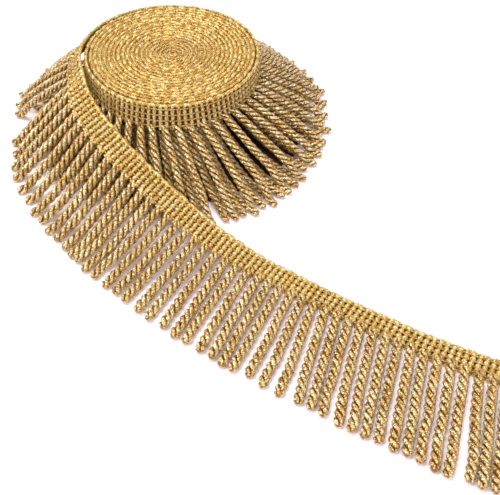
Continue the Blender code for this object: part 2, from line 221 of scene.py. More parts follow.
GIMP_TILT = 0.34  # how far a bit of film leans off the yarn's surface
STRAND_SHEEN = 0.30  # roughness of the looser film on the strands
STRAND_TILT = 0.85
TONE_STOPS = (0.08, 0.50, 0.94)  # of the dark, the middle and the light tone
COPPER_START = 0.84  # of the chance value over which a fleck turns coppery
COPPER_END = 0.96
COPPER_SHARE = 0.75
THREAD_SIZE = 0.5 * MM  # of the cotton ground
THREAD_DEPTH = 0.1 * MM
THREAD_SHADE = 0.45  # tone of the painted shade in the hollows between threads, against the threads
THREAD_STOPS = (0.35, 0.75)
COTTON_ROUGHNESS = 0.8

# The studio, and the camera of the photograph, which looks along +Y and down
LIGHTS = (
    # name, place in m, size in m, power in W, colour
    ("top_softbox", (-0.16, 0.06, 0.85), 0.50, 7.6, "#FFF6E8"),
    ("front_softbox", (0.45, -0.50, 0.55), 0.6, 2.8, "#EEF0FF"),
    ("left_softbox", (-0.55, -0.35, 0.45), 0.5, 1.3, "#FFF6EE"),
)
LIGHT_AIM = Vector((0.0, -0.05, 0.0))
BACKDROP = "#FCFBFF"
BACKDROP_STRENGTH = 0.56
FLOOR_REACH = 3.0
FLOOR_GLOW = "#EADDF2"  # lifts the surface to the white of a lit studio sweep
FLOOR_GLOW_STRENGTH = 0.14
FLOOR_ROUGHNESS = 0.9
FLOOR_SPECULAR = 0.1
CAMERA_PLACE = Vector((34.1, -345.2, 271.8)) * MM
CAMERA_PITCH = math.radians(43.82)
CAMERA_LENS = 66.67
CAMERA_SENSOR = 36.0
CAMERA_CLIP = 0.01


def linear(hex_colour):
    """An sRGB hex colour as linear red, green, blue and alpha."""
    channels = [int(hex_colour[i:i + 2], 16) / 255 for i in (1, 3, 5)]
    return [c / 12.92 if c <= 0.04045 else ((c + 0.055) / 1.055) ** 2.4 for c in channels] + [1.0]


def length_property(name, description, default):
    """A size that a user may change, in metres."""
    return bpy.props.FloatProperty(
        name=name, description=description, default=default, min=0.0, precision=5, unit="LENGTH"
    )


def colour_property(name, description, hex_colour):
    """A colour that a user may change."""
    return bpy.props.FloatVectorProperty(
        name=name, description=description, default=linear(hex_colour), size=4, min=0.0, max=1.0,
        subtype="COLOR",
    )


class FringeSizes(bpy.types.PropertyGroup):
    """Sizes of the trim's yarns and weave."""
    loop_pitch: length_property("Loop pitch", "One gimp loop, with its two ribs and its strand", 5.0 * MM)
    heading_width: length_property("Heading width", "From the loops' tops to the last binding", 10.0 * MM)
    ground_thickness: length_property("Ground thickness", "Of the woven ground behind the ribs", 0.36 * MM)
    rib_radius: length_property("Rib radius", "Of the gimp yarn in the heading", 1.00 * MM)
    bead_length: length_property("Bead length", "Between one binding thread and the next", 2.45 * MM)
    binding_radius: length_property("Binding radius", "Of each ply of a binding thread", 0.20 * MM)
    strand_length: length_property("Strand length", "From the heading to the tip", 43.7 * MM)
    ply_radius: length_property("Ply radius", "Of each of a strand's plies", 0.98 * MM)
    ply_offset: length_property("Ply offset", "From a strand's middle to the middle of a ply", 1.02 * MM)
    ply_height: bpy.props.FloatProperty(
        name="Ply height", description="How much longer a ply's section is round the strand than across it",
        default=1.12, min=1.0, max=2.0,
    )
    ply_pitch: length_property("Ply pitch", "Length in which a ply goes once round", 10.0 * MM)
    grain: length_property("Yarn grain", "Size of the glints in the metallised yarn", 0.45 * MM)


class FringeColours(bpy.types.PropertyGroup):
    """Colours of the yarns and the surface."""
    heading_dark: colour_property("Heading dark", "Gimp yarn turned from the light", "#A87A1E")
    heading_mid: colour_property("Heading gold", "Most of the gimp yarn", "#D9B85C")
    heading_light: colour_property("Heading glint", "Brightest glints of the gimp yarn", "#EFE3AE")
    strand_dark: colour_property("Strand dark", "Strand yarn turned from the light", "#865610")
    strand_mid: colour_property("Strand gold", "Most of the strand yarn", "#D8B45A")
    strand_light: colour_property("Strand glint", "Brightest glints of the strand yarn", "#FAF6D2")
    copper: colour_property("Copper glint", "Odd warm filaments", "#DC9A56")
    # Painted shade, mixed into the yarn's colour in the creases between its plies
    crevice_shade: colour_property("Crevice", "Between the plies of a yarn", "#6A3404")
    ground: colour_property("Ground", "Woven ground seen in the holes between ribs", "#542A06")
    # Painted shade: the packed inner strands are gold yarn, coloured dark for the shade between the outer ones
    core: colour_property("Packed strands", "Depth of the packed inner strands", "#5A2C0C")
    surface: colour_property("Surface", "Plain pale surface under the trim", "#F5F0F8")


MATH = "ShaderNodeMath"
VECTOR_MATH = "ShaderNodeVectorMath"


def add_node(tree, kind, inputs=None, operation=None, **settings):
    """Add a node, set its options, and fill or link its inputs, given in order or by socket identifier."""
    node = tree.nodes.new(kind)
    if operation:
        node.operation = operation
    for name, value in settings.items():
        setattr(node, name, value)
    if isinstance(inputs, list):
        inputs = {socket.identifier: value for socket, value in zip(node.inputs, inputs)}
    for key, value in (inputs or {}).items():
        socket = next(s for s in node.inputs if s.identifier == key)
        if isinstance(value, bpy.types.Node):
            value = next(s for s in value.outputs if s.enabled)
        if isinstance(value, bpy.types.NodeSocket):
            tree.links.new(value, socket)
        else:
            socket.default_value = value
    return node


# The lie of the heading


def smooth_column(distances, values, samples):
    """Read a table's column at even samples, its corners rounded by a raised-cosine window."""
    reach = int(round(TAIL_SMOOTHING / TAIL_STEP))
    window = 0.5 + 0.5 * np.cos(np.pi * np.arange(-reach, reach + 1) / (reach + 1))
    window /= window.sum()
    padded = samples[0] + TAIL_STEP * np.arange(-reach, len(samples) + reach)
    line = np.interp(padded, distances, values)
    first_slope = (values[1] - values[0]) / (distances[1] - distances[0])
    last_slope = (values[-1] - values[-2]) / (distances[-1] - distances[-2])
    before = padded < distances[0]
    after = padded > distances[-1]
    line[before] = values[0] + first_slope * (padded[before] - distances[0])
    line[after] = values[-1] + last_slope * (padded[after] - distances[-1])
    return np.convolve(line, window, mode="valid")


class TailPath:
    """The loose end's upper edge, worked out once and read at any distance along it."""

    def __init__(self):
        rows = np.array(TAIL_ROWS)
        distances = rows[:, 0] * MM
        self.samples = np.arange(0.0, distances[-1] + TAIL_STEP / 2, TAIL_STEP)
        self.bearing = np.radians(smooth_column(distances, rows[:, 1], self.samples))
        self.height = smooth_column(distances, rows[:, 2] * MM, self.samples)
        self.tilt = np.radians(smooth_column(distances, rows[:, 3], self.samples))
        self.slope = np.gradient(self.height, TAIL_STEP)
        level_run = np.sqrt(1.0 - self.slope ** 2)
        start = wound_frame(0.0)[0]
        self.x = self.add_up(start.x, level_run * np.cos(self.bearing))
        self.y = self.add_up(start.y, level_run * np.sin(self.bearing))

    def add_up(self, start, rates):
        """Integrate a coordinate along the path."""
        steps = (rates[1:] + rates[:-1]) / 2 * TAIL_STEP
        return start + np.concatenate([[0.0], np.cumsum(steps)])

    def frame(self, distance):
        """The upper edge there, with the directions along, across and out of the heading's face."""
        columns = (self.bearing, self.slope, self.tilt, self.x, self.y, self.height)
        bearing, slope, tilt, *place = [float(np.interp(distance, self.samples, c)) for c in columns]
        run = math.sqrt(1.0 - slope ** 2)
        along = Vector((run * math.cos(bearing), run * math.sin(bearing), slope))
        across = tilted_down(along, tilt)
        edge = Vector(place)
        width = bpy.context.scene.fringe_sizes.heading_width
        lowest = edge.z + across.z * width - HEADING_THICKNESS / 2
        edge.z += max(0.0, -lowest)
        return edge, along, across, across.cross(along)


def level_outward(along):
    """The level direction out of the heading's face."""
    return Vector((along.y, -along.x, 0.0)).normalized()


def tilted_down(along, tilt):
    """The direction from the heading's upper edge to its lower one, thrown outwards by the tilt."""
    outward = level_outward(along)
    return along.cross(outward) * math.cos(tilt) + outward * math.sin(tilt)


def flare(turned_back):
    """Tilt of the wound heading: the outer turn opens towards the leaving point and stands out in front."""
    tilt = 0.0
    for most, middle, span in ((FLARE_TILT, 0.0, FLARE_SPAN), (FRONT_TILT, FRONT_PLACE, FRONT_SPAN)):
        nearness = max(0.0, 1.0 - abs(turned_back - middle) / span)
        tilt += most * nearness * nearness * (3.0 - 2.0 * nearness)
    return tilt


def wound_radius(turned_back):
    """Radius of the middle of the wound heading, at an angle back from the leaving point."""
    return ROLL_RADIUS - HEADING_THICKNESS / 2 - TURN_PITCH * turned_back / math.tau


def wound_frame(turned_back):
    """The same four vectors as TailPath.frame gives, where the heading is still wound."""
    angle = LEAVING_ANGLE - turned_back
    bulge = OUT_OF_ROUND * max(0.0, math.cos(angle - OUT_OF_ROUND_BEARING)) ** 2
    radius = wound_radius(turned_back) * (1.0 + bulge)
    edge = Vector((radius * math.cos(angle), radius * math.sin(angle), ROLL_HEIGHT))
    along = Vector((-math.sin(angle), math.cos(angle), 0.0))
    across = tilted_down(along, flare(turned_back))
    return edge, along, across, across.cross(along)


def wound_places(pitch, first_angle=0.0):
    """Angles turned back at even distances along the winding, to its innermost turn."""
    places = []
    turned_back = first_angle
    while wound_radius(turned_back) > INNERMOST_RADIUS:
        places.append(turned_back)
        turned_back += pitch / wound_radius(turned_back)
    return places


# Geometry Nodes: yarn swept along lines, and loops set along the heading


def new_tree(name, defaults):
    """A node group with geometry in and out, a material, and named inputs with their defaults."""
    tree = bpy.data.node_groups.new(name, "GeometryNodeTree")
    tree.interface.new_socket("Geometry", in_out="INPUT", socket_type="NodeSocketGeometry")
    tree.interface.new_socket("Geometry", in_out="OUTPUT", socket_type="NodeSocketGeometry")
    tree.interface.new_socket("Material", in_out="INPUT", socket_type="NodeSocketMaterial")
    for input_name, default in defaults.items():
        kind = "NodeSocketInt" if isinstance(default, int) else "NodeSocketFloat"
        tree.interface.new_socket(input_name, in_out="INPUT", socket_type=kind).default_value = default
    return tree, tree.nodes.new("NodeGroupInput").outputs, tree.nodes.new("NodeGroupOutput")


def with_length(tree, curve):
    """Write each point's distance along its yarn on the curve, for the ridges of the yarn's winding."""
    along = add_node(tree, "GeometryNodeSplineParameter")
    return add_node(
        tree, "GeometryNodeStoreNamedAttribute",
        {"Geometry": curve, "Name": YARN_LENGTH, "Value": along.outputs["Length"]},
    )


def jittered(tree, geometry, scale, stretch, depth, seed):
    """Move points by a smooth noise of a given scale, stretched by direction."""
    add = partial(add_node, tree)
    noise = add("ShaderNodeTexNoise", {"Scale": scale, "Detail": 1.0, "W": seed}, noise_dimensions="4D")
    centred = add(VECTOR_MATH, [noise.outputs["Color"], MIDDLE_GREY], "SUBTRACT")
    shaped = add(VECTOR_MATH, [centred, stretch], "MULTIPLY")
    offset = add(VECTOR_MATH, {"Vector": shaped, "Scale": depth}, "SCALE")
    return add("GeometryNodeSetPosition", {"Geometry": geometry, "Offset": offset})


def finish_tree(tree, geometry, material, group_output):
    """End a tree: real mesh that rests on the surface, smooth, with its material."""
    add = partial(add_node, tree)
    real = add("GeometryNodeRealizeInstances", {"Geometry": geometry})
    place = add("GeometryNodeInputPosition")
    parts = add("ShaderNodeSeparateXYZ", {"Vector": place})
    height = add(MATH, [parts.outputs["Z"], SURFACE_GAP], "MAXIMUM")
    lifted = add("ShaderNodeCombineXYZ", {"X": parts.outputs["X"], "Y": parts.outputs["Y"], "Z": height})
    rested = add("GeometryNodeSetPosition", {"Geometry": real, "Position": lifted})
    smooth = add("GeometryNodeSetShadeSmooth", {"Geometry": rested})
    dressed = add("GeometryNodeSetMaterial", {"Geometry": smooth, "Material": material})
    tree.links.new(dressed.outputs[0], group_output.inputs["Geometry"])


def yarn_tree():
    """Sweeps a twist of three plies along every line."""
    tree, given, output = new_tree("twisted_yarn", {
        "Ply Radius": 1.0 * MM, "Ply Offset": 1.0 * MM, "Ply Height": 1.0, "Ply Pitch": 10.0 * MM,
        "Ring Spacing": 0.5 * MM, "Sides": 6, "Waviness": STRAND_WAVINESS, "Root Length": ROOT_LENGTH,
        "Root Girth": ROOT_GIRTH, "Tip Length": TIP_LENGTH, "Tip Girth": TIP_GIRTH,
        "Roughness Depth": STRAND_ROUGHNESS, "Seed": 1.0,
    })
    add = partial(add_node, tree)
    smooth_line = add("GeometryNodeCurveSplineType", {"Curve": given["Geometry"]}, spline_type="CATMULL_ROM")
    rings = add(
        "GeometryNodeResampleCurve", {"Curve": smooth_line, "Length": given["Ring Spacing"]}, mode="LENGTH"
    )
    measured = with_length(tree, rings)
    along = add("GeometryNodeSplineParameter")
    swing = add(MATH, [along.outputs["Factor"], given["Waviness"]], "MULTIPLY")
    waved = jittered(tree, measured, WAVE_SCALE, WAVE_STRETCH, swing, given["Seed"])

    spline = add("GeometryNodeSplineLength")
    turns = add(MATH, [along.outputs["Length"], given["Ply Pitch"]], "DIVIDE")
    start = add(MATH, [spline.outputs["Length"], PHASE_SCATTER], "MULTIPLY")
    tilt = add(MATH, [turns, TWIST_HAND * math.tau, start], "MULTIPLY_ADD")
    twisted = add("GeometryNodeSetCurveTilt", {"Curve": waved, "Tilt": tilt})

    left = add(MATH, [spline.outputs["Length"], along.outputs["Length"]], "SUBTRACT")
    tip_share = add("ShaderNodeMapRange", {"Value": left, "From Max": given["Tip Length"]})
    tip_dome = add(MATH, [tip_share, 0.5], "POWER")
    tip = add(MATH, [tip_dome, given["Tip Girth"]], "MAXIMUM")
    root = add(
        "ShaderNodeMapRange",
        {"Value": along.outputs["Length"], "From Max": given["Root Length"], "To Min": given["Root Girth"]},
    )
    girth = add(MATH, [tip, root], "MULTIPLY")

    circle = add(
        "GeometryNodeCurvePrimitiveCircle", {"Resolution": given["Sides"], "Radius": given["Ply Radius"]}
    )
    plies = add("GeometryNodeJoinGeometry")
    aside = add("ShaderNodeCombineXYZ", {"X": given["Ply Offset"]})
    flattened = add("ShaderNodeCombineXYZ", {"X": 1.0, "Y": given["Ply Height"], "Z": 1.0})
    first = add("GeometryNodeTransform", {"Geometry": circle, "Translation": aside, "Scale": flattened})
    for number in range(PLIES):
        ply = add(
            "GeometryNodeTransform", {"Geometry": first, "Rotation": (0.0, 0.0, math.tau * number / PLIES)}
        )
        tree.links.new(ply.outputs[0], plies.inputs[0])
    widest = add(MATH, [given["Ply Offset"], given["Ply Radius"]], "ADD")
    place = add("GeometryNodeInputPosition")
    middle_gap = add(VECTOR_MATH, [place], "LENGTH").outputs["Value"]
    share = add(MATH, [middle_gap, widest], "DIVIDE")
    # How deep a profile point lies in the crease between plies, where the materials paint shade
    depth = add(
        "ShaderNodeMapRange",
        {"Value": share, "From Min": CREASE_START, "From Max": CREASE_END, "To Min": 1.0, "To Max": 0.0},
    )
    creased = add("GeometryNodeStoreNamedAttribute", {"Geometry": plies, "Name": CREASE, "Value": depth})
    swept = add(
        "GeometryNodeCurveToMesh",
        {"Curve": twisted, "Profile Curve": creased, "Scale": girth, "Fill Caps": True},
    )
    uneven = jittered(tree, swept, 1.0 / LUMP_SIZE, LUMP_STRETCH, given["Roughness Depth"], given["Seed"])
    finish_tree(tree, uneven, given["Material"], output)
    return tree


def loop_tree():
    """Sets a beaded gimp loop on every point, turned by the point's along and up directions."""
    tree, given, output = new_tree("gimp_loops", {
        "Rib Spacing": 2.5 * MM, "Leg Length": 9.0 * MM, "Yarn Radius": 1.0 * MM, "Bead Length": 2.5 * MM,
        "Bead Depth": 0.2, "Ring Spacing": 0.4 * MM, "Sides": 8, "Jitter": 0.05, "Roughness Depth": 0.2 * MM,
        "Seed": 1,
    })
    add = partial(add_node, tree)
    half = add(MATH, [given["Rib Spacing"], 0.5], "MULTIPLY")
    arc = add(MATH, [half, math.pi / 2], "MULTIPLY")
    far = add(MATH, [arc, given["Leg Length"]], "ADD")
    near = add(MATH, [far, -1.0], "MULTIPLY")
    start = add("ShaderNodeCombineXYZ", {"X": near})
    end = add("ShaderNodeCombineXYZ", {"X": far})
    line = add("GeometryNodeCurvePrimitiveLine", {"Start": start, "End": end})
    rings = add("GeometryNodeResampleCurve", {"Curve": line, "Length": given["Ring Spacing"]}, mode="LENGTH")
    measured = with_length(tree, rings)
    place = add("GeometryNodeInputPosition")
    from_top = add("ShaderNodeSeparateXYZ", {"Vector": place}).outputs["X"]
    spread = add(MATH, [from_top, given["Bead Length"]], "DIVIDE")
    phase = add(MATH, [spread, math.tau], "MULTIPLY")
    wave = add(MATH, [phase], "COSINE")
    pinch = add(MATH, [wave, given["Bead Depth"]], "MULTIPLY")
    swell = add(MATH, [1.0, pinch], "SUBTRACT")
    girth = add(MATH, [swell, given["Yarn Radius"]], "MULTIPLY")
    kept = add("GeometryNodeStoreNamedAttribute", {"Geometry": measured, "Name": "girth", "Value": girth})

    arc_start = add(MATH, [arc, -1.0], "MULTIPLY")
    bent = add("ShaderNodeClamp", {"Value": from_top, "Min": arc_start, "Max": arc})
    angle = add(MATH, [bent, half], "DIVIDE")
    sine = add(MATH, [angle], "SINE")
    cosine = add(MATH, [angle], "COSINE")
    x = add(MATH, [sine, half], "MULTIPLY")
    rise = add(MATH, [cosine, half], "MULTIPLY")
    rest = add(MATH, [from_top, bent], "SUBTRACT")
    drop = add(MATH, [rest], "ABSOLUTE")
    z = add(MATH, [rise, drop], "SUBTRACT")
    arch = add("ShaderNodeCombineXYZ", {"X": x, "Z": z})
    arched = add("GeometryNodeSetPosition", {"Geometry": kept, "Position": arch})
    circle = add("GeometryNodeCurvePrimitiveCircle", {"Resolution": given["Sides"], "Radius": 1.0})
    kept_girth = add("GeometryNodeInputNamedAttribute", {"Name": "girth"})
    loop = add(
        "GeometryNodeCurveToMesh",
        {"Curve": arched, "Profile Curve": circle, "Fill Caps": True, "Scale": kept_girth},
    )

    up = add("GeometryNodeInputNamedAttribute", {"Name": "up"}, data_type="FLOAT_VECTOR")
    along = add("GeometryNodeInputNamedAttribute", {"Name": "along"}, data_type="FLOAT_VECTOR")
    turned = add(
        "FunctionNodeAxesToRotation", {"Primary Axis": up, "Secondary Axis": along},
        primary_axis="Z", secondary_axis="X",
    )
    least = add(MATH, [1.0, given["Jitter"]], "SUBTRACT")
    most = add(MATH, [1.0, given["Jitter"]], "ADD")
    scale = add("FunctionNodeRandomValue", {"Min_001": least, "Max_001": most, "Seed": given["Seed"]})
    placed = add(
        "GeometryNodeInstanceOnPoints",
        {"Points": given["Geometry"], "Instance": loop, "Rotation": turned, "Scale": scale},
    )
    real = add("GeometryNodeRealizeInstances", {"Geometry": placed})
    uneven = jittered(tree, real, 1.0 / LUMP_SIZE, LUMP_STRETCH, given["Roughness Depth"], LOOP_NOISE_SEED)
    finish_tree(tree, uneven, given["Material"], output)
    return tree


def grown(source, tree, values, name):
    """Run a tree on a source object and keep the result as a plain mesh under a name."""
    modifier = source.modifiers.new("grow", "NODES")
    modifier.node_group = tree
    for item in tree.interface.items_tree:
        if item.in_out == "INPUT" and item.name in values:
            modifier[item.identifier] = values[item.name]
    bpy.context.view_layer.update()
    graph = bpy.context.evaluated_depsgraph_get()
    mesh = bpy.data.meshes.new_from_object(source.evaluated_get(graph))
    if not mesh.polygons:
        raise RuntimeError(f"{name}: the tree {tree.name} gave no faces")
    mesh.name = name
    mesh.materials.clear()
    mesh.materials.append(values["Material"])
    mesh.polygons.foreach_set("material_index", [0] * len(mesh.polygons))
    bpy.data.objects.remove(source, do_unlink=True)
    return shown(name, mesh)


def shown(name, mesh):
    """Link a mesh as a piece of the trim."""
    piece = bpy.data.objects.new(name, mesh)
    bpy.context.scene.collection.objects.link(piece)
    return piece


def keep(piece, slot, *nodes):
    """Say what a piece rides on and which solids it stands for; the slot it is given is not used."""
    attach(piece, "root")
    if nodes:
        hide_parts(*nodes)


def line_source(lines):
    """A curve object of plain polylines for a tree to sweep yarn along."""
    curve = bpy.data.curves.new("lines", "CURVE")
    curve.dimensions = "3D"
    for line in lines:
        spline = curve.splines.new("POLY")
        spline.points.add(len(line) - 1)
        for point, place in zip(spline.points, line):
            point.co = (*place, 1.0)
    return shown("lines", curve)


def loop_source(frames):
    """A cloud of points, one for each loop, that carry the heading's directions."""
    mesh = bpy.data.meshes.new("loop_places")
    mesh.from_pydata([edge for edge, _, _, _ in frames], [], [])
    for name, vectors in (("along", [f[1] for f in frames]), ("up", [-f[2] for f in frames])):
        attribute = mesh.attributes.new(name, "FLOAT_VECTOR", "POINT")
        attribute.data.foreach_set("vector", np.array(vectors, float).ravel())
    return shown("loop_places", mesh)


# Materials


def new_material(name, settings):
    """A material with its shader's plain values set, and the adder for its nodes."""
    material = bpy.data.materials.new(name)
    material.use_nodes = True
    tree = material.node_tree
    shader = tree.nodes["Principled BSDF"]
    for socket, value in settings.items():
        shader.inputs[socket].default_value = value
    return material, tree, shader.inputs, partial(add_node, tree)


def set_stops(ramp, positions, colours):
    """Place a colour ramp's stops, adding what it lacks."""
    stops = ramp.color_ramp.elements
    while len(stops) < len(positions):
        stops.new(0.5)
    for stop, position, colour in zip(stops, positions, colours):
        stop.position = position
        stop.color = colour


def metallised_yarn(name, part, roughness, facet_tilt):
    """Metallised yarn: thread wound in slit film that has metal on it.

    Each bit of film lies its own way, so the gold breaks into fine glints, from its tilted facets and from
    light and dark flecks painted into its colour, with an odd coppery one; where the plies meet, shade is
    painted in dark brown.
    """
    sizes = bpy.context.scene.fringe_sizes
    colours = bpy.context.scene.fringe_colours
    tones = [getattr(colours, f"{part}_{tone}") for tone in ("dark", "mid", "light")]
    plain = {"Metallic": FILM_SHARE, "Roughness": roughness}
    material, tree, shader, add = new_material(name, plain)
    place = add("ShaderNodeTexCoord").outputs["Object"]
    flecks = add("ShaderNodeTexVoronoi", {"Vector": place, "Scale": 1.0 / sizes.grain}, feature="F1")
    fleck = add("ShaderNodeSeparateColor", {"Color": flecks.outputs["Color"]})
    patches = add("ShaderNodeTexNoise", {"Vector": place, "Scale": 1.0 / PATCH_SIZE, "Detail": 2.0})
    tone = add(MATH, [patches.outputs["Fac"], TONE_DRIFT, -TONE_DRIFT / 2], "MULTIPLY_ADD")
    tone = add(MATH, [fleck.outputs["Red"], tone], "ADD")
    # Painted glints and painted shade: each fleck's colour runs from the dark tone of film turned from the
    # light to the light tone of a glint
    ramp = add("ShaderNodeValToRGB", {"Fac": tone})
    set_stops(ramp, TONE_STOPS, tones)
    chance = fleck.outputs["Green"]
    rare = add(
        "ShaderNodeMapRange",
        {"Value": chance, "From Min": COPPER_START, "From Max": COPPER_END, "To Max": COPPER_SHARE},
    )
    # Painted shade in the creases between the plies, laid over the colour
    crease = add("ShaderNodeAttribute", attribute_name=CREASE).outputs["Fac"]
    colour = ramp.outputs["Color"]
    for share, over in ((rare, colours.copper), (crease, colours.crevice_shade)):
        mix = add(
            "ShaderNodeMix", {"Factor_Float": share, "A_Color": colour, "B_Color": list(over)},
            data_type="RGBA",
        )
        colour = next(s for s in mix.outputs if s.identifier == "Result_Color")
    tree.links.new(colour, shader["Base Color"])

    centred = add(VECTOR_MATH, [flecks.outputs["Color"], MIDDLE_GREY], "SUBTRACT")
    lean = add(VECTOR_MATH, {"Vector": centred, "Scale": facet_tilt}, "SCALE")
    surface = add("ShaderNodeNewGeometry").outputs["Normal"]
    facet = add(VECTOR_MATH, [surface, lean], "ADD")
    level = add(VECTOR_MATH, [facet], "NORMALIZE")
    length = add("ShaderNodeAttribute", attribute_name=YARN_LENGTH).outputs["Fac"]
    phase = add(MATH, [length, math.tau / WINDING_PITCH], "MULTIPLY")
    ridge = add(MATH, [phase], "SINE")
    bump = add(
        "ShaderNodeBump",
        {"Height": ridge, "Distance": WINDING_DEPTH, "Strength": WINDING_STRENGTH, "Normal": level},
    )
    tree.links.new(bump.outputs[0], shader["Normal"])
    return material


def woven_ground_and_shade(name, colour):
    """Dyed cotton in plain weave, or packed yarn coloured dark as painted deep shade.

    It only shows as the warm dark of the holes between ribs and of the gaps between strands.
    """
    material, tree, shader, add = new_material(name, {"Roughness": COTTON_ROUGHNESS})
    place = add("ShaderNodeTexCoord").outputs["Object"]
    threads = add("ShaderNodeTexNoise", {"Vector": place, "Scale": 1.0 / THREAD_SIZE, "Detail": 1.0})
    ramp = add("ShaderNodeValToRGB", {"Fac": threads.outputs["Fac"]})
    shade = [THREAD_SHADE * c for c in colour[:3]] + [1.0]
    set_stops(ramp, THREAD_STOPS, (shade, colour))
    tree.links.new(ramp.outputs["Color"], shader["Base Color"])
    bump = add("ShaderNodeBump", {"Height": threads.outputs["Fac"], "Distance": THREAD_DEPTH})
    tree.links.new(bump.outputs[0], shader["Normal"])
    return material


def pale_surface(colour):
    """Matt white laminate under the trim: no gloss, so it shows only soft shadows."""
    return new_material("matt_laminate", {
        "Base Color": colour, "Roughness": FLOOR_ROUGHNESS, "Specular IOR Level": FLOOR_SPECULAR,
        "Emission Color": linear(FLOOR_GLOW), "Emission Strength": FLOOR_GLOW_STRENGTH,
    })[0]


def heading_gimp():
    """Bright gimp of the heading: cord bound tightly with film, so its glints are small and close."""
    made = bpy.data.materials.get("metallised_gimp")
    return made or metallised_yarn("metallised_gimp", "heading", GIMP_ROUGHNESS, GIMP_TILT)


def strand_yarn():
    """Softly twisted bullion yarn of the strands: its film lies looser, so its glints are paler."""
    made = bpy.data.materials.get("bullion_yarn")
    return made or metallised_yarn("bullion_yarn", "strand", STRAND_SHEEN, STRAND_TILT)


def fringe_trees():
    """The two trees, made once."""
    groups = bpy.data.node_groups
    return groups.get("twisted_yarn") or yarn_tree(), groups.get("gimp_loops") or loop_tree()


# The strands


def strand_line(root, across, tip, bow):
    """A strand's middle line: it leaves in the heading's plane, falls, and rests on the surface."""
    line = [root - across * STRAND_START]
    for share in STRAND_SHARES:
        fall = max(0.0, 1.0 - share / TOUCHDOWN) ** bow
        point = root.lerp(tip, share)
        point.z = tip.z + max(0.0, root.z - tip.z) * fall
        line.append(point)
    return line


def resting_height():
    """Height of the middle of a strand that lies on the surface."""
    sizes = bpy.context.scene.fringe_sizes
    return sizes.ply_radius + sizes.ply_offset


def lay_tip(root, along, out_run, along_run):
    """A tip on the surface, so far out of the heading's face and so far along it."""
    level_along = Vector((along.x, along.y, 0.0)).normalized()
    tip = root + level_outward(along) * out_run + level_along * along_run
    tip.z = resting_height()
    return tip


def skirt_lines(turn, drop, column, short, bow, shift, scatter, seed):
    """Middle lines of one row of strands round the roll."""
    sizes = bpy.context.scene.fringe_sizes
    chance = random.Random(seed)
    rows = np.array(SKIRT_ROWS)
    lines = []
    for number in range(LOOPS_PER_TURN):
        place = math.tau * (number + shift + chance.uniform(-scatter, scatter)) / LOOPS_PER_TURN
        degrees = math.degrees(place)
        edge, along, across, _ = wound_frame(place + math.tau * turn)
        root = edge + across * (sizes.heading_width + drop * MM)
        radius = np.interp(degrees, rows[:, 0], rows[:, column]) * MM - short * MM
        radius += chance.uniform(-TIP_SCATTER, TIP_SCATTER)
        lean = math.radians(np.interp(degrees, rows[:, 0], rows[:, LEAN]))
        along_run = sizes.strand_length * math.sin(lean) + chance.gauss(0.0, TIP_JITTER)
        out_run = math.sqrt(radius ** 2 - along_run ** 2) - math.hypot(root.x, root.y)
        lines.append(strand_line(root, across, lay_tip(root, along, out_run, along_run), bow))
    return lines


def tail_lines(tail, first, last, seed):
    """Middle lines of the strands on a stretch of the loose end."""
    sizes = bpy.context.scene.fringe_sizes
    chance = random.Random(seed)
    rows = np.array(TAIL_LIE)
    lines = []
    for number in range(first, last):
        distance = TAIL_SHIFT + number * sizes.loop_pitch
        edge, along, across, _ = tail.frame(distance)
        root = edge + across * sizes.heading_width
        degrees, length, scatter = [np.interp(distance / MM, rows[:, 0], rows[:, i]) for i in (1, 2, 3)]
        lean = math.radians(degrees + chance.uniform(-scatter, scatter))
        length = length * MM + chance.uniform(-LENGTH_SCATTER, LENGTH_SCATTER)
        level_run = math.sqrt(length ** 2 - (root.z - resting_height()) ** 2)
        tip = lay_tip(root, along, level_run * math.cos(lean), level_run * math.sin(lean))
        bow = min(FIRST_BOW + BOW_GROWTH * distance, MOST_BOW)
        lines.append(strand_line(root, across, tip, bow))
    return lines


def strand_values(seed, girth, twist=1.0, sides=6, ring_spacing=0.55):
    """Inputs of the yarn tree for a strand."""
    sizes = bpy.context.scene.fringe_sizes
    return {
        "Ply Radius": sizes.ply_radius * girth, "Ply Offset": sizes.ply_offset * girth,
        "Ply Height": sizes.ply_height, "Ply Pitch": sizes.ply_pitch * twist,
        "Ring Spacing": ring_spacing * MM, "Sides": sides, "Waviness": STRAND_WAVINESS,
        "Root Length": ROOT_LENGTH, "Root Girth": ROOT_GIRTH, "Tip Length": TIP_LENGTH,
        "Tip Girth": TIP_GIRTH, "Roughness Depth": STRAND_ROUGHNESS, "Seed": seed, "Material": strand_yarn(),
    }


class FRINGE_OT_stage(bpy.types.Operator):
    """Make the pale surface, the soft studio light and the camera"""
    bl_idname = "fringe.stage"
    bl_label = "Stage"

    def execute(self, context):
        scene = context.scene
        mesh = bpy.data.meshes.new("surface")
        corners = [(x * FLOOR_REACH, y * FLOOR_REACH, 0) for x, y in ((-1, -1), (1, -1), (1, 1), (-1, 1))]
        mesh.from_pydata(corners, [], [(0, 1, 2, 3)])
        mesh.materials.append(pale_surface(scene.fringe_colours.surface))
        shown("surface", mesh)

        for name, place, size, power, tint in LIGHTS:
            lamp = bpy.data.lights.new(name, "AREA")
            lamp.color = linear(tint)[:3]
            lamp.energy = power
            lamp.size = size
            light = bpy.data.objects.new(name, lamp)
            light.location = place
            aim = LIGHT_AIM - Vector(place)
            light.rotation_euler = aim.to_track_quat("-Z", "Y").to_euler()
            scene.collection.objects.link(light)

        world = bpy.data.worlds.new("white_studio")
        world.use_nodes = True
        backdrop = world.node_tree.nodes["Background"]
        backdrop.inputs["Color"].default_value = linear(BACKDROP)
        backdrop.inputs["Strength"].default_value = BACKDROP_STRENGTH
        scene.world = world
        scene.view_settings.view_transform = "Standard"

        lens = bpy.data.cameras.new("camera")
        lens.lens = CAMERA_LENS
        lens.sensor_width = CAMERA_SENSOR
        lens.clip_start = CAMERA_CLIP
        camera = bpy.data.objects.new("camera", lens)
        camera.location = CAMERA_PLACE
        camera.rotation_euler = (CAMERA_PITCH, 0.0, 0.0)
        scene.collection.objects.link(camera)
        scene.camera = camera
        return {"FINISHED"}


